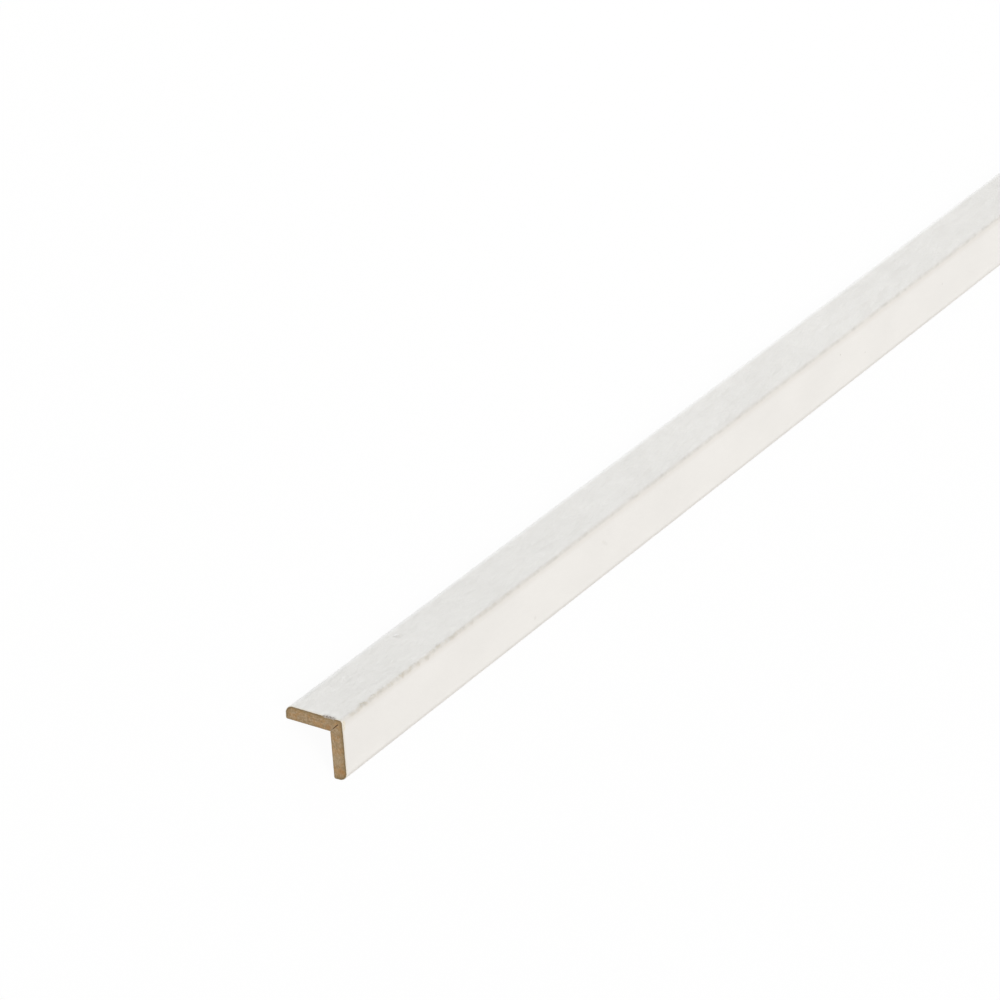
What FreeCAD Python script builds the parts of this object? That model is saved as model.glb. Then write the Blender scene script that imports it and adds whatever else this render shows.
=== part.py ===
import FreeCAD, Part
import os
import Sketcher

# Corner guard moulding. One strip of fibreboard has a V-groove milled along its back and is folded
# shut on the web left at the groove's root, so that two equal legs meet in a closed mitre. It lies
# with the fold uppermost and both free edges on the floor, and its length runs along Y.

doc = FreeCAD.newDocument("corner_guard_moulding")

# Sizes in millimetres and degrees
sizes = doc.addObject("Spreadsheet::Sheet", "sizes")
values = (
    ("stock_length", 2400),
    ("leg_width", 22),  # from the sharp outer corner to the free edge
    ("board_thickness", 5),
    ("fold_angle", 90),  # between the two legs
    ("fold_radius", 1.2),  # round of the fold's outside
    ("fold_web", 2),  # board left whole between the groove's root and the fold's outside
    ("seam_gap", 0.2),  # slit left between the two mitre faces
    ("mouth_radius", 0.6),  # easing where the mitre faces meet the back faces
    ("face_edge_radius", 3),  # round of the free edges on the painted side
    ("back_edge_radius", 0.5),  # easing of the free edges on the wall side
)
for row, (alias, value) in enumerate(values, 1):
    sizes.set(f"A{row}", str(value))
    sizes.setAlias(f"A{row}", alias)
doc.recompute()


def origin_plane(body, role):
    return next(item for item in body.Origin.OriginFeatures if item.Role == role)


def long_edges(feature, corner):
    """Names of the edges that run the length of the stock at a corner of the section and its mirror image."""
    names = []
    for number, edge in enumerate(feature.Shape.Edges, 1):
        ends = [vertex.Point for vertex in edge.Vertexes]
        if all(abs(abs(end.x) - corner.x) < 1e-4 and abs(end.z - corner.y) < 1e-4 for end in ends):
            names.append(f"Edge{number}")
    return names


def round_off(body, base, corner, radius, label):
    """Rounds the long edges at a corner of the section with the sheet's radius of that name."""
    fillet = body.newObject("PartDesign::Fillet", label)
    fillet.Base = (base, long_edges(base, corner))
    fillet.setExpression("Radius", f"sizes.{radius}")
    doc.recompute()
    return fillet


# The folded strip
moulding = doc.addObject("PartDesign::Body", "moulding")
moulding.Label = "corner_moulding"

# Half of the section, drawn from the sharp outer corner of the fold at the sketch's origin: the
# painted face, the free edge, the back face, one mitre face, the groove's root and the web's middle
section = moulding.newObject("Sketcher::SketchObject", "section")
section.AttachmentSupport = [(origin_plane(moulding, "XZ_Plane"), "")]
section.MapMode = "FlatFace"
rough = [(0, 0), (15.6, -15.6), (12, -19.1), (0.1, -7.2), (0.1, -2.5), (0, -2.5)]
corners = [FreeCAD.Vector(x, y, 0) for x, y in rough]
FACE, EDGE, BACK, MITRE, ROOT, WEB = range(6)
START, END = 1, 2
AXIS_VERTICAL = -2
for begin, finish in zip(corners, corners[1:] + corners[:1]):
    section.addGeometry(Part.LineSegment(begin, finish), False)
for line in range(6):
    section.addConstraint(Sketcher.Constraint("Coincident", line, END, (line + 1) % 6, START))
section.addConstraint(Sketcher.Constraint("Coincident", FACE, START, -1, START))
section.addConstraint(Sketcher.Constraint("PointOnObject", WEB, START, AXIS_VERTICAL))
section.addConstraint(Sketcher.Constraint("Perpendicular", FACE, EDGE))
section.addConstraint(Sketcher.Constraint("Parallel", FACE, BACK))
section.addConstraint(Sketcher.Constraint("Vertical", MITRE))
section.addConstraint(Sketcher.Constraint("Horizontal", ROOT))
section.addConstraint(Sketcher.Constraint("Angle", WEB, END, FACE, START, 0.785))
section.renameConstraint(section.ConstraintCount - 1, "half_fold")
section.addConstraint(Sketcher.Constraint("Distance", FACE, 22))
section.renameConstraint(section.ConstraintCount - 1, "face_width")
section.addConstraint(Sketcher.Constraint("Distance", EDGE, 5))
section.renameConstraint(section.ConstraintCount - 1, "edge_width")
section.addConstraint(Sketcher.Constraint("Distance", ROOT, 0.1))
section.renameConstraint(section.ConstraintCount - 1, "half_gap")
section.addConstraint(Sketcher.Constraint("Distance", WEB, 2.5))
section.renameConstraint(section.ConstraintCount - 1, "web_depth")
section.setExpression("Constraints.half_fold", "sizes.fold_angle / 2")
section.setExpression("Constraints.face_width", "sizes.leg_width")
section.setExpression("Constraints.edge_width", "sizes.board_thickness")
section.setExpression("Constraints.half_gap", "sizes.seam_gap / 2")
section.setExpression(
    "Constraints.web_depth",
    "sizes.fold_web + sizes.fold_radius * (1 / sin(sizes.fold_angle / 2) - 1)",
)
doc.recompute()

# One leg at full length, then the other leg across the mitre
leg = moulding.newObject("PartDesign::Pad", "leg")
leg.Profile = section
leg.SideType = "Symmetric"
leg.setExpression("Length", "sizes.stock_length")
doc.recompute()
legs = moulding.newObject("PartDesign::Mirrored", "legs")
legs.Originals = [leg]
legs.MirrorPlane = (origin_plane(moulding, "YZ_Plane"), [""])
legs.Refine = True
moulding.Tip = legs
doc.recompute()

# Rounded fold, painted free edges, wall-side arrises and the mouth of the seam
fold = section.getPoint(FACE, START)
painted_edge = section.getPoint(FACE, END)
wall_edge = section.getPoint(EDGE, END)
seam_mouth = section.getPoint(BACK, END)
rounded = round_off(moulding, legs, fold, "fold_radius", "fold_round")
rounded = round_off(moulding, rounded, painted_edge, "face_edge_radius", "painted_edges")
rounded = round_off(moulding, rounded, wall_edge, "back_edge_radius", "wall_edges")
rounded = round_off(moulding, rounded, seam_mouth, "mouth_radius", "seam_mouth")
moulding.Tip = rounded

# The wall-side arrises stand on the floor
moulding.setExpression(
    "Placement.Base.z",
    "sizes.leg_width * cos(sizes.fold_angle / 2) + sizes.board_thickness * sin(sizes.fold_angle / 2)"
    " - sizes.back_edge_radius * (cos(sizes.fold_angle / 2) + sin(sizes.fold_angle / 2) - 1)",
)
doc.recompute()

for item in doc.Objects:
    if "Invalid" in item.State or "Error" in item.State:
        raise RuntimeError(f"{item.Label} did not compute: {item.State}")
if moulding.Shape.isNull() or not moulding.Shape.isValid() or len(moulding.Shape.Solids) != 1:
    raise RuntimeError("the moulding is not one valid solid")

os.makedirs("parts", exist_ok=True)
moulding.Shape.exportStep(f"parts/{moulding.Label}.step")
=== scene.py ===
import math

import bpy
import numpy as np
from mathutils import Matrix, Vector, noise


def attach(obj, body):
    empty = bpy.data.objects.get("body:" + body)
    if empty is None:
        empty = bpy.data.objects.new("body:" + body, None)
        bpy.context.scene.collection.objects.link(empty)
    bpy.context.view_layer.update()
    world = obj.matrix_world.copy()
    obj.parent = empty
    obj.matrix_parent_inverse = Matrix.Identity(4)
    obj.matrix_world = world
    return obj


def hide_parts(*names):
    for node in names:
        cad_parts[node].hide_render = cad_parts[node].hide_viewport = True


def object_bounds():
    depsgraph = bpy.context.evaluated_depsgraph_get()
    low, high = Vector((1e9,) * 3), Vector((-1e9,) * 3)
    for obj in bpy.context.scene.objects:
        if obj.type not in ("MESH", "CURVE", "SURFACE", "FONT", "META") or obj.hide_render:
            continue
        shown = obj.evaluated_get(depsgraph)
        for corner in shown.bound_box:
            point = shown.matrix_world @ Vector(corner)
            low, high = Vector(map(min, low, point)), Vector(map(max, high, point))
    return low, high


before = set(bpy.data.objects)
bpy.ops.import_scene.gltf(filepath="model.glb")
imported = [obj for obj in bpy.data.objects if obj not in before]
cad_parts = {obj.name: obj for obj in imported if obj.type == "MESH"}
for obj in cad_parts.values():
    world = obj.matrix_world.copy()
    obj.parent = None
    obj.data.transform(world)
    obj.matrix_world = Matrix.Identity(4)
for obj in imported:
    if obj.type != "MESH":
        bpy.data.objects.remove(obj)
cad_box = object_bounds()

# Folded strip: one strip of fibreboard, V-grooved along its back and folded shut on the web at the
# groove's root, so that two equal legs meet in a mitre. It is coated white outside and over its
# rounded free edges, and bare behind and on the sawn ends.
MM = 0.001
HALF = math.sqrt(0.5)
LENGTH = round((cad_box[1][1] - cad_box[0][1]) / MM, 3)
LEG = 22.0
BOARD = 5.0
FOLD_ROUND = 1.2
FOLD_WEB = 2.0
SEAM_GAP = 0.2
SEAM_TIGHT = 0.03
MOUTH_ROUND = 0.6
FACE_EDGE_ROUND = 3.0
BACK_EDGE_ROUND = 0.5
COAT_THICK = 0.15
FOLD_HEIGHT = (LEG + BOARD) * HALF - BACK_EDGE_ROUND * (2 * HALF - 1)


def turn(across, depth, radius, begin, finish, steps):
    """Points round a corner of one leg with their outward normals, at angles from the face's normal."""
    points = []
    for angle in np.radians(np.linspace(begin, finish, steps + 1)):
        normal = (math.sin(angle), -math.cos(angle))
        points.append((across + radius * normal[0], depth + radius * normal[1], *normal))
    return points


def flat(depth, outward, begin, finish, steps):
    """Points along a face of one leg, after the one that it begins at."""
    return [(across, depth, 0, outward) for across in np.linspace(begin, finish, steps + 1)[1:]]


# The outside of one leg, from the fold's crown to the middle of the free edge. Its points are closest
# beside the fold, where the coat is damaged, and in the band of the nibs.
DAMAGE_END = 9.2
NIB_BAND = (14.4, 17.4)
face_end = LEG - FACE_EDGE_ROUND
outside = turn(FOLD_ROUND, FOLD_ROUND, FOLD_ROUND, -45, 0, 8)
outside += flat(0, -1, FOLD_ROUND, DAMAGE_END, 20) + flat(0, -1, DAMAGE_END, NIB_BAND[0], 6)
outside += flat(0, -1, *NIB_BAND, 8) + flat(0, -1, NIB_BAND[1], face_end, 2)
outside += turn(face_end, FACE_EDGE_ROUND, FACE_EDGE_ROUND, 0, 90, 10)[1:]
outside.append((LEG, (FACE_EDGE_ROUND + BOARD - BACK_EDGE_ROUND) / 2, 1, 0))

# The inside of one leg, from the middle of the groove's root to the middle of the free edge. The
# mitre faces stand a little apart at the root and touch at the back.
root = (FOLD_WEB + FOLD_ROUND * (1 / HALF - 1)) * HALF
mouth_depth = BOARD - MOUTH_ROUND
mouth_across = mouth_depth + (SEAM_TIGHT / 2 + MOUTH_ROUND) / HALF
MOUTH_STEPS = 3
mouth = turn(mouth_across, mouth_depth, MOUTH_ROUND, 225, 180, MOUTH_STEPS)
inside = [(root, root, HALF, HALF)]
WALL_STEPS = 9
for step in range(WALL_STEPS):
    share = step / WALL_STEPS
    half_gap = SEAM_GAP / 2 * (1 - share**2) + SEAM_TIGHT / 2 * share**2
    wall_depth = root + (mouth[0][1] - root) * share
    inside.append((wall_depth + half_gap / HALF, wall_depth, -HALF, HALF))
inside += mouth
WALL_END = len(inside) - 1
inside += flat(BOARD, 1, mouth[-1][0], LEG - BACK_EDGE_ROUND, 36)
inside += turn(LEG - BACK_EDGE_ROUND, BOARD - BACK_EDGE_ROUND, BACK_EDGE_ROUND, 180, 90, 5)[1:]
inside.append(outside[-1])
LAST = len(outside) - 1
assert len(inside) == len(outside)


def distances(points):
    """Distance of each point from the first, along the outline."""
    steps = [math.hypot(b[0] - a[0], b[1] - a[1]) for a, b in zip(points, points[1:])]
    return np.concatenate([[0], np.cumsum(steps)])


unrolled = {True: distances(outside), False: distances(inside)}

# Stations along the strip, from the photographed end, closest where its marks are finest, and a
# station at each cut of the finish's map
NEAR_REACH = 480
NEAR_LENGTH = 120
FAR_LENGTH = 240
FAR_END_REACH = 12
NEAR_CUTS = np.arange(0, NEAR_REACH, NEAR_LENGTH)
FAR_CUTS = np.arange(NEAR_REACH, LENGTH + 1, FAR_LENGTH)
stations = np.unique(
    np.concatenate(
        [
            np.arange(0, 4, 0.2),
            np.arange(4, 12, 0.4),
            np.arange(12, 48, 0.8),
            np.arange(48, 58, 0.4),
            np.arange(58, 100, 1.2),
            np.arange(100, NEAR_REACH, 2.5),
            np.linspace(NEAR_REACH, LENGTH - FAR_END_REACH, 81),
            np.linspace(LENGTH - FAR_END_REACH, LENGTH, 13),
            NEAR_CUTS,
            FAR_CUTS,
        ]
    ).round(3)
)


def wave(*spot):
    """Smooth noise between -1 and 1."""
    return noise.noise(Vector(spot))


def rise(value, low, high):
    """Smooth step from 0 at low to 1 at high."""
    share = min(max((value - low) / (high - low), 0.0), 1.0)
    return share * share * (3 - 2 * share)


def band(value, begin, full, fade, end):
    """1 between full and fade, and 0 before begin and after end."""
    return rise(value, begin, full) * (1 - rise(value, fade, end))


# Damage by the saw at the photographed end: where it begins, is full, fades and ends on the leg, how
# far it reaches along the strip, and how deep it goes
CRUSH_BAND = (2.0, 3.2, 6.8, 8.0)
CRUSH_REACH = 0.9
CRUSH_DEPTH = 0.6
TEAR_BAND = (-0.2, 0.5, 2.2, 4.5)
TEAR_REACH = 1.5
TEAR_DEPTH = 0.12


def crushed(across, along):
    """Share of the top leg's edge that is crushed and chipped, near the fold."""
    ragged = max(0.0, 0.8 + 0.7 * wave(across * 1.2, along * 1.2, 21))
    return band(-across, *CRUSH_BAND) * math.exp(-((along / CRUSH_REACH) ** 2)) * ragged


def torn(across, along):
    """Share of the coat that is torn from the side leg, beside the fold."""
    ragged = max(0.0, 0.8 + 0.5 * wave(across * 1.1, along * 0.9, 33))
    return band(across, *TEAR_BAND) * math.exp(-((along / TEAR_REACH) ** 2)) * ragged


# Dents that wear left along the fold, deepest towards the photographed end
RIDGE_WIDTH = 0.8
WEAR_REACH = 110
LONG_DENTS = 0.16
SHORT_DENTS = 0.12


def nicks(across, along):
    """Depth of the dents at a place on the fold."""
    ridge = math.exp(-((across / RIDGE_WIDTH) ** 2))
    wear = 0.3 + 0.7 * math.exp(-along / WEAR_REACH)
    long_dents = LONG_DENTS * max(0.0, wave(along * 0.28, 5.5, 1.0) + 0.1)
    short_dents = SHORT_DENTS * max(0.0, wave(along * 0.8, across * 0.8, 8.5))
    return ridge * wear * (long_dents + short_dents)


# Nibs in the coat of the top leg: distance from the fold, along the strip, height and radius
NIBS = ((-15.5, 52.5, 0.5, 0.95), (-15.0, 23.1, 0.2, 0.6), (-16.6, 35.1, 0.2, 0.8))
SWELL_HEIGHT = 0.02
LUMP_HEIGHT = 0.01
BACK_RELIEF = 0.012


def relief_outside(across, along):
    """Height of the coat over the plain section, which it never passes but at the nibs."""
    swell = SWELL_HEIGHT * (wave(across * 0.11, along * 0.07, 3.0) - 1)
    lumps = LUMP_HEIGHT * (wave(across * 0.4, along * 0.25, 9.0) - 1)
    nibs = sum(h * math.exp(-((across - x) ** 2 + (along - y) ** 2) / r**2) for x, y, h, r in NIBS)
    saw_marks = CRUSH_DEPTH * crushed(across, along) + TEAR_DEPTH * torn(across, along)
    return swell + lumps + nibs - (saw_marks + nicks(across, along))


def relief_inside(across, along):
    """Height of the sanded back over the plain section, which it never passes."""
    return BACK_RELIEF * (wave(across * 0.5, along * 0.2, 40.0) - 1)


SLIT_REACH = (0.1, 0.6)


def seam_closing(across, depth, along):
    """Height that brings a point of a mitre face to the other one, but for a slit at the sawn ends."""
    half_gap = (across - depth) * HALF
    return (half_gap - SEAM_TIGHT / 2) * rise(min(along, LENGTH - along), *SLIT_REACH)


def place(side, across, depth, along):
    """A point of the left (-1) or right (1) leg in the part's own frame, in metres."""
    return (
        side * (across - depth) * HALF * MM,
        (along - LENGTH / 2) * MM,
        (FOLD_HEIGHT - (across + depth) * HALF) * MM,
    )


# One ring of points round the section: outside from the left edge over the fold to the right edge,
# then inside from the right edge through the groove's root and back to the left edge
ring = [(-1, i, True) for i in range(LAST, 0, -1)] + [(1, i, True) for i in range(0, LAST + 1)]
ring += [(1, i, False) for i in range(LAST - 1, -1, -1)] + [(-1, i, False) for i in range(1, LAST)]
around = len(ring)
spot = {key: j for j, key in enumerate(ring)}
for painted in (True, False):
    spot[(-1, 0, painted)] = spot[(1, 0, painted)]
for side in (1, -1):
    spot[(side, LAST, False)] = spot[(side, LAST, True)]

corners = []
broken = []
for along in stations:
    for side, i, painted in ring:
        across, depth, out_across, out_depth = (outside if painted else inside)[i]
        from_fold = side * unrolled[painted][i]
        if painted:
            height = relief_outside(from_fold, along)
        elif i > WALL_END:
            height = relief_inside(from_fold, along)
        else:
            height = seam_closing(across, depth, along) if 0 < i < WALL_END - MOUTH_STEPS else 0.0
        broken.append(max(crushed(from_fold, along), torn(from_fold, along)) if painted else 0.0)
        corners.append(place(side, across + height * out_across, depth + height * out_depth, along))

# The finish's map: lengths of the strip side by side, outside and inside, and the sawn ends enlarged.
# Its square is measured in millimetres, and near lengths are drawn at full size.
MAP_SIDE = 328.0
MAP_GAP = 1.2
islands = {}
pen_x, pen_y, row_height = 0.0, 0.0, 0.0
near_lengths = [("outside", begin, NEAR_LENGTH, 1.0) for begin in NEAR_CUTS]
far_lengths = [("outside", begin, FAR_LENGTH, 0.5) for begin in FAR_CUTS[:-1]]
inside_lengths = [("inside", begin, FAR_LENGTH, 0.5) for begin in np.arange(0, LENGTH, FAR_LENGTH)]
for kind, begin, reach, scale in near_lengths + far_lengths + inside_lengths:
    half_width = unrolled[kind == "outside"][-1]
    width = 2 * half_width * scale
    if pen_x + width > MAP_SIDE:
        pen_x, pen_y, row_height = 0.0, pen_y + row_height + MAP_GAP, 0.0
    islands[(kind, begin)] = (pen_x + half_width * scale, pen_y - begin * scale, scale)
    pen_x += width + MAP_GAP
    row_height = max(row_height, reach * scale)
pen_x, pen_y = 0.0, pen_y + row_height + MAP_GAP
SAWN_SCALE = (4.0, 3.0)
section_half = LEG * HALF
for at_end in (0, 1):
    scale = SAWN_SCALE[at_end]
    islands[("sawn", at_end)] = (pen_x + section_half * scale, pen_y, scale)
    pen_x += 2 * section_half * scale + MAP_GAP


def on_map(key, x, y):
    """Place on the finish's map of a point of one of its islands."""
    left, bottom, scale = islands[key]
    return ((left + x * scale) / MAP_SIDE, (bottom + y * scale) / MAP_SIDE)


# The faces, each with its finish. The lay is where a point is on the unrolled surface. Its third
# number keeps the grain of the outside, the inside, each leg and each sawn end apart.
BACK_LAY = 60.0
LEG_LAY = 50.0
END_LAY = 200.0
faces = []
finishes = []
lay = []
rims = []
map_spots = []
COAT, BARE, SAWN = 0, 1, 2
BACK_START = LAST - 1
outside_cuts = np.concatenate([NEAR_CUTS, FAR_CUTS])
inside_cuts = np.arange(0, LENGTH + 1, FAR_LENGTH)
for k in range(len(stations) - 1):
    near, far = stations[k], stations[k + 1]
    outside_key = ("outside", outside_cuts[np.searchsorted(outside_cuts, near, "right") - 1])
    inside_key = ("inside", inside_cuts[np.searchsorted(inside_cuts, near, "right") - 1])
    for j in range(around):
        after = (j + 1) % around
        faces.append((k * around + j, k * around + after, (k + 1) * around + after, (k + 1) * around + j))
        side, i, painted = ring[j]
        other_side, other, other_painted = ring[after]
        outer = painted and other_painted
        finishes.append(COAT if outer or min(i, other) >= BACK_START else BARE)
        here = side * unrolled[outer][i]
        there = other_side * unrolled[outer][other]
        level = 0.0 if outer else BACK_LAY
        for x, y in ((here, near), (there, near), (there, far), (here, far)):
            lay.append((x, y, level))
            rims.append((0.0, 0.0, 0.0))
            map_spots.append(on_map(outside_key if outer else inside_key, x, y))


def nearest(across, depth, outline):
    """Distance from a point of the section to an outline of the leg."""
    ends = np.array([point[:2] for point in outline])
    start, reach = ends[:-1], np.diff(ends, axis=0)
    here = np.array((across, depth))
    share = np.clip(((here - start) * reach).sum(1) / (reach**2).sum(1), 0, 1)
    return np.linalg.norm(start + reach * share[:, None] - here, axis=1).min()


# The two sawn ends: a net of points between the outside and the inside of each leg, with pits where
# the saw pulled fibres out
THROUGH = 20
CUT_DEPTH = 0.02
PIT_DEPTH = 0.05
for at_end, station in ((0, 0), (1, len(stations) - 1)):
    along = stations[station]
    net = {}
    for side in (1, -1):
        for i in range(LAST + 1):
            for m in range(THROUGH + 1):
                share = m / THROUGH
                across = outside[i][0] * (1 - share) + inside[i][0] * share
                depth = outside[i][1] * (1 - share) + inside[i][1] * share
                if m in (0, THROUGH) or i == LAST:
                    index = station * around + spot[(side, i, m == 0)]
                elif i == 0 and side == -1:
                    index = net[(1, 0, m)][0]
                else:
                    pulled_out = max(0.0, wave(across * 1.9, depth * 1.9, 70 + side + at_end * 5))
                    pit = CUT_DEPTH + PIT_DEPTH * pulled_out
                    index = len(corners)
                    corners.append(place(side, across, depth, along + (pit if at_end == 0 else -pit)))
                    broken.append(0.0)
                skin = nearest(across, depth, outside)
                back = nearest(across, depth, inside[WALL_END:])
                net[(side, i, m)] = (index, across, depth, skin, back)
        for i in range(LAST):
            for m in range(THROUGH):
                cell = ((i, m), (i, m + 1), (i + 1, m + 1), (i + 1, m))
                loop = [net[(side, *knot)] for knot in cell]
                if i == LAST - 1:
                    loop = loop[:3]
                if (side > 0) == (at_end == 1):
                    loop = loop[::-1]
                faces.append([item[0] for item in loop])
                finishes.append(SAWN)
                for index, across, depth, skin, back in loop:
                    lay.append((across, depth, side * LEG_LAY + at_end * END_LAY))
                    rims.append((skin, back, 0.0))
                    height = FOLD_HEIGHT - (across + depth) * HALF
                    map_spots.append(on_map(("sawn", at_end), side * (across - depth) * HALF, height))

SHARP_ANGLE = 35
strip_mesh = bpy.data.meshes.new("folded_strip")
strip_mesh.from_pydata(corners, [], faces)
strip_mesh.attributes.new("lay", "FLOAT_VECTOR", "CORNER").data.foreach_set("vector", np.ravel(lay))
strip_mesh.attributes.new("rim", "FLOAT_VECTOR", "CORNER").data.foreach_set("vector", np.ravel(rims))
strip_mesh.attributes.new("broken", "FLOAT", "POINT").data.foreach_set("value", broken)
strip_mesh.uv_layers.new(name="OFBake").data.foreach_set("uv", np.ravel(map_spots))
strip_mesh.polygons.foreach_set("material_index", finishes)
strip_mesh.polygons.foreach_set("use_smooth", [True] * len(faces))
strip_mesh.set_sharp_from_angle(angle=math.radians(SHARP_ANGLE))
strip_mesh.update()
strip = bpy.data.objects.new("folded_strip", strip_mesh)
bpy.context.scene.collection.objects.link(strip)


def colour(red, green, blue):
    """A colour written as the eye sees it, from 0 to 255, as Blender's linear numbers."""
    seen = (red / 255, green / 255, blue / 255)
    linear = [v / 12.92 if v <= 0.04045 else ((v + 0.055) / 1.055) ** 2.4 for v in seen]
    return (*linear, 1.0)


class Finish:
    """A material under construction: its Principled shader and short ways to add nodes."""

    def __init__(self, name):
        self.material = bpy.data.materials.new(name)
        self.material.use_nodes = True
        self.tree = self.material.node_tree
        self.shader = self.tree.nodes["Principled BSDF"]

    def node(self, kind, settings=None, **inputs):
        """A new node with its settings, and its inputs linked to other nodes or set to values."""
        made = self.tree.nodes.new("ShaderNode" + kind)
        for name, value in (settings or {}).items():
            setattr(made, name, value)
        for name, value in inputs.items():
            self.feed(made.inputs[name], value)
        return made

    def feed(self, socket, value):
        """Links another node's output to a socket, or sets the socket to a value."""
        if isinstance(value, bpy.types.NodeSocket):
            self.tree.links.new(value, socket)
        else:
            socket.default_value = value

    def maths(self, operation, first, second=0.0):
        """One step of arithmetic."""
        made = self.node("Math", {"operation": operation})
        self.feed(made.inputs[0], first)
        self.feed(made.inputs[1], second)
        return made.outputs[0]

    def ramp(self, value, low, high, bottom=0.0, top=1.0):
        """Smooth step of a value, from the bottom at low to the top at high."""
        made = self.node("MapRange", {"interpolation_type": "SMOOTHSTEP"}, Value=value)
        for name, number in zip(("From Min", "From Max", "To Min", "To Max"), (low, high, bottom, top)):
            self.feed(made.inputs[name], number)
        return made.outputs["Result"]

    def blend(self, share, first, second):
        """The first colour, turning into the second as the share grows."""
        made = self.node("Mix", {"data_type": "RGBA"})
        self.feed(made.inputs[0], share)
        self.feed(made.inputs[6], first)
        self.feed(made.inputs[7], second)
        return made.outputs[2]

    def grain(self, lay, stretch, detail, rough, shift=(0, 0, 0)):
        """Noise over the lay of the surface, with its own number of grains a millimetre each way."""
        mapped = self.node("Mapping", Vector=lay)
        mapped.inputs["Scale"].default_value = stretch
        mapped.inputs["Location"].default_value = shift
        made = self.node("TexNoise", Vector=mapped.outputs[0], Scale=1.0, Detail=detail, Roughness=rough)
        return made.outputs["Fac"]

    def attribute(self, name, output="Vector"):
        """What the mesh carries under a name."""
        return self.node("Attribute", {"attribute_name": name}).outputs[output]

    def near(self, lay, spot, inner, outer):
        """1 within the inner radius of a spot of the lay, fading to 0 at the outer one."""
        away = self.node("VectorMath", {"operation": "DISTANCE"})
        self.feed(away.inputs[0], lay)
        away.inputs[1].default_value = spot
        return self.ramp(away.outputs["Value"], inner, outer, 1.0, 0.0)

    def uneven(self, height, strength, distance):
        """Fine relief of the finish, whose height counts in the given distance."""
        bump = self.node("Bump", Strength=strength, Distance=distance, Height=height)
        self.feed(self.shader.inputs["Normal"], bump.outputs["Normal"])


# The white coat, rubbed thin along the fold, where painted shade of the crease also darkens it
coat = Finish("white_coat")
lay_on_coat = coat.attribute("lay")
parts = coat.node("SeparateXYZ", Vector=lay_on_coat)
from_crown, along_strip = parts.outputs["X"], parts.outputs["Y"]
cloud = coat.grain(lay_on_coat, (0.05, 0.03, 1), 2.0, 0.5, (7, 3, 0))
lumps = coat.grain(lay_on_coat, (0.95, 0.32, 1), 2.0, 0.55, (0, 5, 0))
swells = coat.grain(lay_on_coat, (0.2, 0.07, 1), 1.0, 0.5, (4, 19, 0))
raised = coat.ramp(coat.grain(lay_on_coat, (0.5, 0.2, 1), 2.0, 0.5, (13, 1, 0)), 0.58, 0.8)
white = coat.blend(coat.ramp(cloud, 0.3, 0.7), colour(236, 234, 230), colour(239, 237, 233))

# A rubbed line that wanders along the crown, darkened further with painted shade of the crease: broad,
# tan and crumbled near the photographed end, and thin and grey beyond
near_end = coat.ramp(along_strip, 10.0, 150.0, 1.0, 0.0)
wander = coat.maths("SUBTRACT", coat.grain(lay_on_coat, (0.0, 0.2, 1), 4.0, 0.65, (3, 11, 0)), 0.5)
offset = coat.maths("MULTIPLY", wander, coat.maths("ADD", 1.2, coat.maths("MULTIPLY", near_end, 3.0)))
away = coat.maths("ABSOLUTE", coat.maths("SUBTRACT", from_crown, offset))
half_line = coat.maths("ADD", 0.5, coat.maths("MULTIPLY", near_end, 0.3))
crumbs = coat.grain(lay_on_coat, (2.0, 1.3, 1), 4.0, 0.8, (9, 2, 0))
fray = coat.maths("SUBTRACT", crumbs, 0.5)
away = coat.maths("ADD", away, coat.maths("MULTIPLY", fray, coat.maths("MULTIPLY", half_line, 4.0)))
line_core = coat.maths("MULTIPLY", half_line, 0.1)
line_rim = coat.maths("MULTIPLY", half_line, 1.7)
line = coat.ramp(away, line_core, line_rim, 1.0, 0.0)
dashes = coat.ramp(coat.grain(lay_on_coat, (0.1, 0.22, 1), 4.0, 0.7, (1, 30, 0)), 0.4, 0.62, 0.3, 1.0)
fresh = coat.ramp(along_strip, 1.0, 9.0, 0.25, 1.0)
rubbed_and_shaded = coat.maths("MULTIPLY", coat.maths("MULTIPLY", line, dashes), fresh)
tints = coat.grain(lay_on_coat, (0.8, 0.35, 1), 2.0, 0.6, (5, 17, 0))
crumbled = coat.blend(coat.ramp(tints, 0.4, 0.5), colour(208, 204, 192), colour(214, 204, 183))
crumbled = coat.blend(coat.ramp(tints, 0.55, 0.62), crumbled, colour(215, 206, 184))
rub_and_shade_colour = coat.blend(near_end, colour(214, 211, 204), crumbled)
rub_and_shade_share = coat.maths("MULTIPLY", rubbed_and_shaded, coat.ramp(near_end, 0.0, 1.0, 0.4, 0.65))
white = coat.blend(rub_and_shade_share, white, rub_and_shade_colour)
# Painted shade of the crease: a greyer band beside the crown, on the side leg
crease_painted_shade = coat.ramp(from_crown, 0.8, 3.2, 0.3, 0.0)
crease_painted_shade = coat.maths("MULTIPLY", coat.ramp(from_crown, -0.6, 0.6), crease_painted_shade)
white = coat.blend(crease_painted_shade, white, colour(216, 210, 200))

# The round of the top leg's free edge gets a painted highlight in brighter white, and that of the side
# leg a painted shade in grey
rim_painted_highlight = coat.ramp(from_crown, -19.5, -18.1, 1.0, 0.0)
white = coat.blend(rim_painted_highlight, white, colour(249, 248, 246))
white = coat.blend(coat.ramp(from_crown, 18.6, 19.8), white, colour(225, 222, 216))

# The largest nib gets a painted highlight, white on the side away from the fold
nib_painted_highlight = coat.near(lay_on_coat, (-16.1, 52.7, 0.0), 0.4, 1.0)
white = coat.blend(nib_painted_highlight, white, colour(250, 249, 247))

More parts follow.
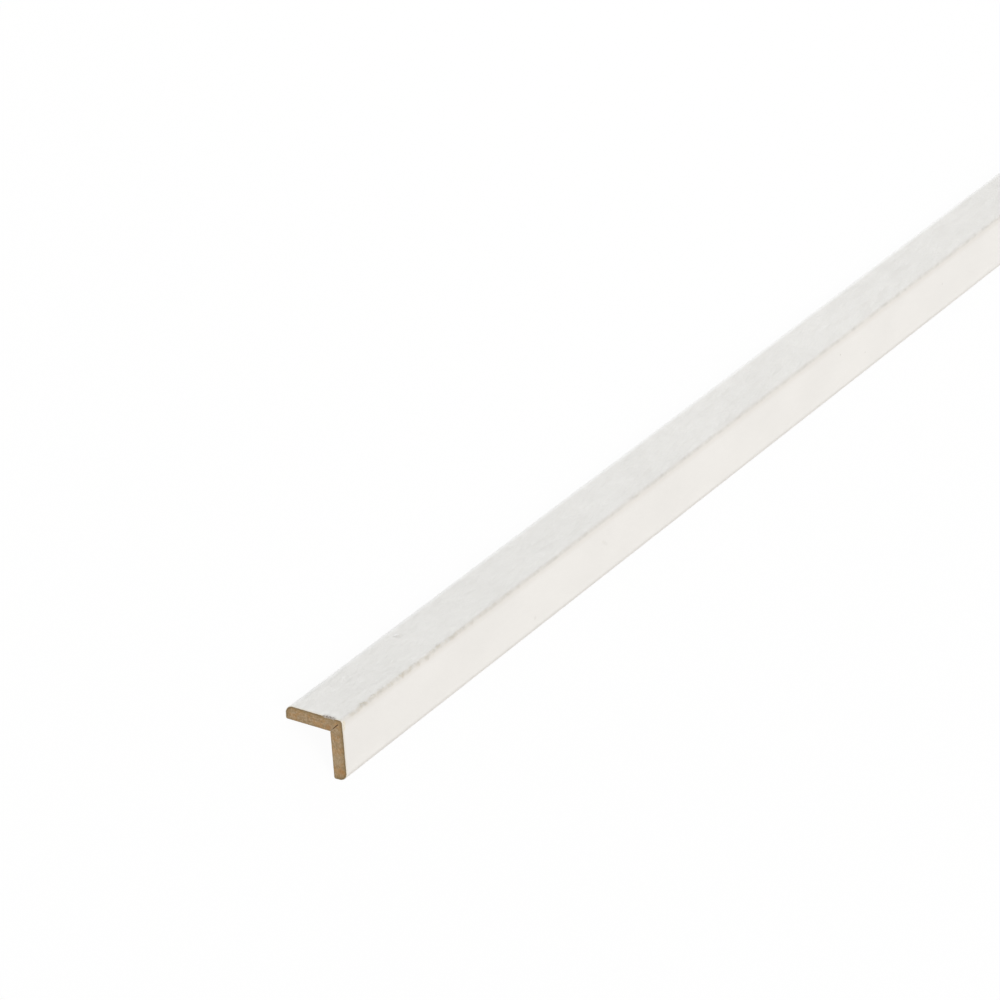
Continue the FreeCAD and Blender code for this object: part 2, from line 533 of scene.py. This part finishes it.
# Specks on the side leg: distance from the fold, along the strip, radius and strength
SPECKS = (
    (6.0, 309.3, 0.4, 0.5),
    (12.6, 327.1, 0.35, 0.4),
    (9.2, 386.0, 0.5, 0.3),
    (7.5, 149.3, 0.8, 0.12),
    (8.3, 150.3, 0.8, 0.14),
    (9.1, 151.3, 0.8, 0.12),
    (15.8, 107.0, 0.8, 0.18),
)
for from_fold, along, radius, strength in SPECKS:
    speck = coat.near(lay_on_coat, (from_fold, along, 0.0), radius * 0.3, radius * 1.3)
    white = coat.blend(coat.maths("MULTIPLY", speck, strength), white, colour(190, 186, 178))

# Where it is crushed and torn at the sawn end, it shows its ground, bare board and dark crumbs, whose
# dark and grey flecks are partly painted shade in the chip, and its cut edge is cream
broken_share = coat.attribute("broken", "Fac")
shards = coat.grain(lay_on_coat, (1.6, 1.6, 1), 4.0, 0.75, (2, 4, 0))
ground_and_chip_shade = coat.blend(coat.ramp(shards, 0.38, 0.46), colour(116, 98, 84), colour(172, 160, 152))
ground_and_chip_shade = coat.blend(coat.ramp(shards, 0.48, 0.54), ground_and_chip_shade, colour(234, 229, 222))
cream = coat.blend(coat.ramp(shards, 0.35, 0.6), colour(222, 212, 188), colour(238, 233, 220))
ground_and_chip_shade = coat.blend(coat.ramp(from_crown, -0.4, 0.2), ground_and_chip_shade, cream)
ragged_cut = coat.maths("MULTIPLY", coat.maths("SUBTRACT", shards, 0.5), 1.6)
cut_edge = coat.ramp(coat.maths("ADD", along_strip, ragged_cut), 0.2, 0.9, 0.7, 0.0)
white = coat.blend(cut_edge, white, colour(233, 227, 212))
white = coat.blend(coat.ramp(broken_share, 0.15, 0.5), white, ground_and_chip_shade)
coat.feed(coat.shader.inputs["Base Color"], white)
coat.feed(coat.shader.inputs["Roughness"], coat.ramp(lumps, 0.3, 0.7, 0.4, 0.5))
coat.shader.inputs["Specular IOR Level"].default_value = 0.25

# Its relief is stronger on the top leg and gone at that leg's free edge. It is counted from its mean,
# so that it makes no step where it fades.
SWELL_SHARE = 4.2
coat_height = coat.maths("ADD", lumps, coat.maths("MULTIPLY", raised, 0.12))
coat_height = coat.maths("ADD", coat_height, coat.maths("MULTIPLY", swells, SWELL_SHARE))
coat_height = coat.maths("SUBTRACT", coat_height, (1 + SWELL_SHARE) / 2)
rougher_top = coat.ramp(from_crown, -1.5, 1.5, 0.29, 0.12)
rougher_top = coat.maths("MULTIPLY", rougher_top, coat.ramp(from_crown, -20.6, -18.8))
coat_height = coat.maths("MULTIPLY", coat_height, rougher_top)
crumbs_height = coat.maths("MULTIPLY", coat.maths("MULTIPLY", fray, rubbed_and_shaded), 0.6)
coat.uneven(coat.maths("ADD", coat_height, crumbs_height), strength=0.85, distance=0.8 * MM)

# The bare back: sanded fibreboard, with painted shade in the milled groove, and a mist of coat at the
# edges
bare = Finish("bare_board")
lay_on_bare = bare.attribute("lay")
parts = bare.node("SeparateXYZ", Vector=lay_on_bare)
from_root = bare.maths("ABSOLUTE", parts.outputs["X"])
fibres = bare.grain(lay_on_bare, (1.6, 0.7, 1), 6.0, 0.65)
clouds = bare.grain(lay_on_bare, (0.12, 0.04, 1), 3.0, 0.5, (5, 0, 0))
sanding = bare.grain(lay_on_bare, (2.4, 0.03, 1), 3.0, 0.6, (0, 9, 0))
brown = bare.blend(bare.ramp(fibres, 0.3, 0.7), colour(158, 130, 98), colour(186, 158, 122))
brown = bare.blend(bare.ramp(clouds, 0.3, 0.7, 0.0, 0.35), brown, colour(171, 145, 112))
brown = bare.blend(bare.ramp(sanding, 0.5, 0.75, 0.0, 0.3), brown, colour(150, 124, 92))
groove_end = float(unrolled[False][WALL_END])
# Painted shade: the mitre faces of the milled groove in dark brown
groove_painted_shade = bare.ramp(from_root, groove_end - 1.2, groove_end + 0.3, 0.8, 0.0)
brown = bare.blend(groove_painted_shade, brown, colour(88, 64, 44))
edge = float(unrolled[False][-1])
mist = bare.maths("ADD", from_root, bare.maths("MULTIPLY", bare.maths("SUBTRACT", clouds, 0.5), 3.0))
mist = bare.maths("ADD", mist, bare.maths("MULTIPLY", bare.maths("SUBTRACT", fibres, 0.5), 1.5))
brown = bare.blend(bare.ramp(mist, edge - 2.4, edge - 1.2, 0.0, 0.85), brown, colour(232, 229, 223))
bare.feed(bare.shader.inputs["Base Color"], brown)
bare.shader.inputs["Roughness"].default_value = 0.85
bare.shader.inputs["Specular IOR Level"].default_value = 0.25
bare_height = bare.maths("ADD", fibres, bare.maths("MULTIPLY", sanding, 0.6))
bare.uneven(bare_height, strength=0.4, distance=0.12 * MM)

# The sawn ends: fine pressed fibres, darker towards both faces, rimmed by the cut coat, stained along
# the seam, and with a few warm and pale spots
sawn = Finish("sawn_board")
lay_on_cut = sawn.attribute("lay")
parts = sawn.node("SeparateXYZ", Vector=lay_on_cut)
rim = sawn.node("SeparateXYZ", Vector=sawn.attribute("rim"))
layers = sawn.grain(lay_on_cut, (0.6, 0.9, 1), 4.0, 0.65)
flecks = sawn.grain(lay_on_cut, (1.3, 1.5, 1), 4.0, 0.7, (4, 8, 0))
warmth = sawn.grain(lay_on_cut, (0.3, 0.4, 1), 3.0, 0.6, (6, 1, 0))
brown = sawn.blend(sawn.ramp(layers, 0.4, 0.6), colour(186, 158, 121), colour(203, 177, 141))
brown = sawn.blend(sawn.ramp(warmth, 0.47, 0.58, 0.0, 0.7), brown, colour(206, 164, 114))
brown = sawn.blend(sawn.ramp(flecks, 0.52, 0.66, 0.0, 0.55), brown, colour(228, 207, 174))
brown = sawn.blend(sawn.ramp(flecks, 0.34, 0.48, 0.7, 0.0), brown, colour(150, 121, 88))
ragged_rim = sawn.maths("MULTIPLY", sawn.maths("SUBTRACT", flecks, 0.5), 1.4)
under_coat = sawn.maths("SUBTRACT", rim.outputs["X"], COAT_THICK)
skin = sawn.maths("ADD", under_coat, ragged_rim)
back = sawn.maths("ADD", rim.outputs["Y"], ragged_rim)
brown = sawn.blend(sawn.ramp(skin, 0.6, 2.0, 0.4, 0.0), brown, colour(172, 142, 98))
brown = sawn.blend(sawn.ramp(skin, 0.1, 1.0, 0.72, 0.0), brown, colour(146, 124, 86))
brown = sawn.blend(sawn.ramp(back, 0.1, 0.75, 0.35, 0.0), brown, colour(146, 122, 86))
coat_cut = sawn.maths("ADD", under_coat, sawn.maths("MULTIPLY", ragged_rim, 0.35))
brown = sawn.blend(sawn.ramp(coat_cut, -0.1, 0.1, 1.0, 0.0), brown, colour(238, 232, 219))
seam = sawn.maths("SUBTRACT", parts.outputs["X"], parts.outputs["Y"])
in_seam = sawn.ramp(seam, 0.12, 0.3, 0.6, 0.0)
fading = sawn.ramp(parts.outputs["Y"], 2.8, 4.2, 1.0, 0.15)
past_web = sawn.ramp(parts.outputs["Y"], 1.5, 2.0)
in_seam = sawn.maths("MULTIPLY", in_seam, sawn.maths("MULTIPLY", fading, past_web))
brown = sawn.blend(in_seam, brown, colour(116, 84, 56))

# Warm spots of the sawn end: place on a leg, reach and strength
WARM_SPOTS = (((5.6, 3.7, -LEG_LAY), 1.6, 0.5), ((19.0, 1.8, LEG_LAY), 1.8, 0.4))
for warm_spot, reach, strength in WARM_SPOTS:
    patch = sawn.near(lay_on_cut, warm_spot, reach * 0.25, reach)
    brown = sawn.blend(sawn.maths("MULTIPLY", patch, strength), brown, colour(190, 136, 80))
pale_spot = sawn.near(lay_on_cut, (14.0, 4.2, LEG_LAY), 1.0, 4.5)
brown = sawn.blend(sawn.maths("MULTIPLY", pale_spot, 0.3), brown, colour(216, 192, 156))
sawn.feed(sawn.shader.inputs["Base Color"], brown)
sawn.shader.inputs["Roughness"].default_value = 0.9
sawn.shader.inputs["Specular IOR Level"].default_value = 0.2
sawn.uneven(flecks, strength=0.6, distance=0.2 * MM)

for finish in (coat, bare, sawn):
    strip_mesh.materials.append(finish.material)
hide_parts("corner_moulding")
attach(strip, "root")

# Floor: a wide plain white studio floor under the strip. It shows white to the camera and in
# reflections, and keeps a part of the strip's soft shadow. It casts none itself, so that the lamp
# below it, which stands in for its bounce, reaches the strip.
FLOOR_REACH = 60.0
FLOOR_DROP = 0.0001
FLOOR_GREY = 0.6
FLOOR_GLOW = 0.96
floor_mesh = bpy.data.meshes.new("studio_floor")
square = ((-1, -1), (1, -1), (1, 1), (-1, 1))
floor_corners = [(x * FLOOR_REACH, y * FLOOR_REACH, -FLOOR_DROP) for x, y in square]
floor_mesh.from_pydata(floor_corners, [], [(0, 1, 2, 3)])
floor = bpy.data.objects.new("studio_floor", floor_mesh)
bpy.context.scene.collection.objects.link(floor)
floor_white = Finish("studio_white")
floor_white.shader.inputs["Roughness"].default_value = 1.0
floor_white.shader.inputs["Specular IOR Level"].default_value = 0.0
glow = floor_white.node("Emission", Color=(1.0, 1.0, 1.0, 1.0), Strength=1.0)


def seen_white(finish):
    """1 for what the camera, a reflection or a clear body sees, and 0 for what lights the object."""
    sight = finish.node("LightPath")
    seen = finish.maths("MAXIMUM", sight.outputs["Is Camera Ray"], sight.outputs["Is Glossy Ray"])
    return finish.maths("MAXIMUM", seen, sight.outputs["Is Transmission Ray"])


seen = seen_white(floor_white)
floor_colour = floor_white.blend(seen, (FLOOR_GREY, FLOOR_GREY, FLOOR_GREY, 1.0), (1.0, 1.0, 1.0, 1.0))
floor_white.feed(floor_white.shader.inputs["Base Color"], floor_colour)
mixed = floor_white.node("MixShader", Fac=floor_white.maths("MULTIPLY", seen, FLOOR_GLOW))
floor_white.feed(mixed.inputs[1], floor_white.shader.outputs[0])
floor_white.feed(mixed.inputs[2], glow.outputs[0])
floor_white.feed(floor_white.tree.nodes["Material Output"].inputs["Surface"], mixed.outputs[0])
floor_mesh.materials.append(floor_white.material)
floor.visible_shadow = False


# Light: an even white room, a soft warm key from above right, a low cool lamp from behind left, a lamp
# below the floor in place of its bounce, which catches the left edge, and a small fill at the left of
# the photographed end.
class Room(Finish):
    """A world under construction, with the same short ways to add nodes."""

    def __init__(self, world):
        world.use_nodes = True
        self.tree = world.node_tree
        self.shader = self.tree.nodes["Background"]


ROOM_LIGHT = 0.42
scene = bpy.context.scene
scene.world = bpy.data.worlds.new("studio_room")
room = Room(scene.world)
room.shader.inputs["Color"].default_value = (1.0, 1.0, 1.0, 1.0)
room.shader.inputs["Strength"].default_value = ROOM_LIGHT
white_back = room.node("Background", Color=(1.0, 1.0, 1.0, 1.0), Strength=1.0)
either = room.node("MixShader", Fac=seen_white(room))
room.feed(either.inputs[1], room.shader.outputs[0])
room.feed(either.inputs[2], white_back.outputs[0])
room.feed(room.tree.nodes["World Output"].inputs["Surface"], either.outputs[0])


def lamp(name, kind, towards, power, tint):
    """A lamp that shines along a direction, with its place and its softness still to be set."""
    data = bpy.data.lights.new(name, kind)
    data.energy, data.color = power, tint
    made = bpy.data.objects.new(name, data)
    made.rotation_mode = "QUATERNION"
    made.rotation_quaternion = Vector(towards).to_track_quat("-Z", "Y")
    scene.collection.objects.link(made)
    return made


# Lamps far away, which light the whole length alike: name, direction, power, softness and tint
FAR_LAMPS = (
    ("key_right", (-0.596, 0.25, -0.763), 1.82, 50, (1.0, 0.98, 0.962)),
    ("low_left", (0.78, -0.57, -0.1), 1.0, 10, (0.965, 0.99, 1.0)),
    ("floor_bounce", (0.75, -0.1, 0.65), 0.7, 20, (1.0, 1.0, 1.0)),
)
for name, towards, power, softness, tint in FAR_LAMPS:
    far_lamp = lamp(name, "SUN", towards, power, tint)
    far_lamp.data.angle = math.radians(softness)
fill = lamp("left_fill", "AREA", (0.3, 0.0, -0.32), 0.2, (1.0, 1.0, 1.0))
fill.location = (-0.3, -0.82, 0.32)
fill.data.size = 0.2
scene.view_settings.view_transform = "Standard"

# Camera: in front of the photographed end and above it, with a long lens, and rolled so that the
# strip rises to the right.
camera_data = bpy.data.cameras.new("camera")
camera_data.sensor_width = 36.0
camera_data.lens = 153.03
camera_data.clip_end = 200.0
camera = bpy.data.objects.new("camera", camera_data)
right = Vector((0.62759, 0.55539, 0.54558))
up = Vector((-0.77739, 0.40894, 0.47795))
turned = Matrix((right, up, right.cross(up))).transposed().to_4x4()
stand = Vector((0.0331, -2.09573, 0.98204))
camera.matrix_world = Matrix.Translation(stand) @ turned
scene.collection.objects.link(camera)
scene.camera = camera
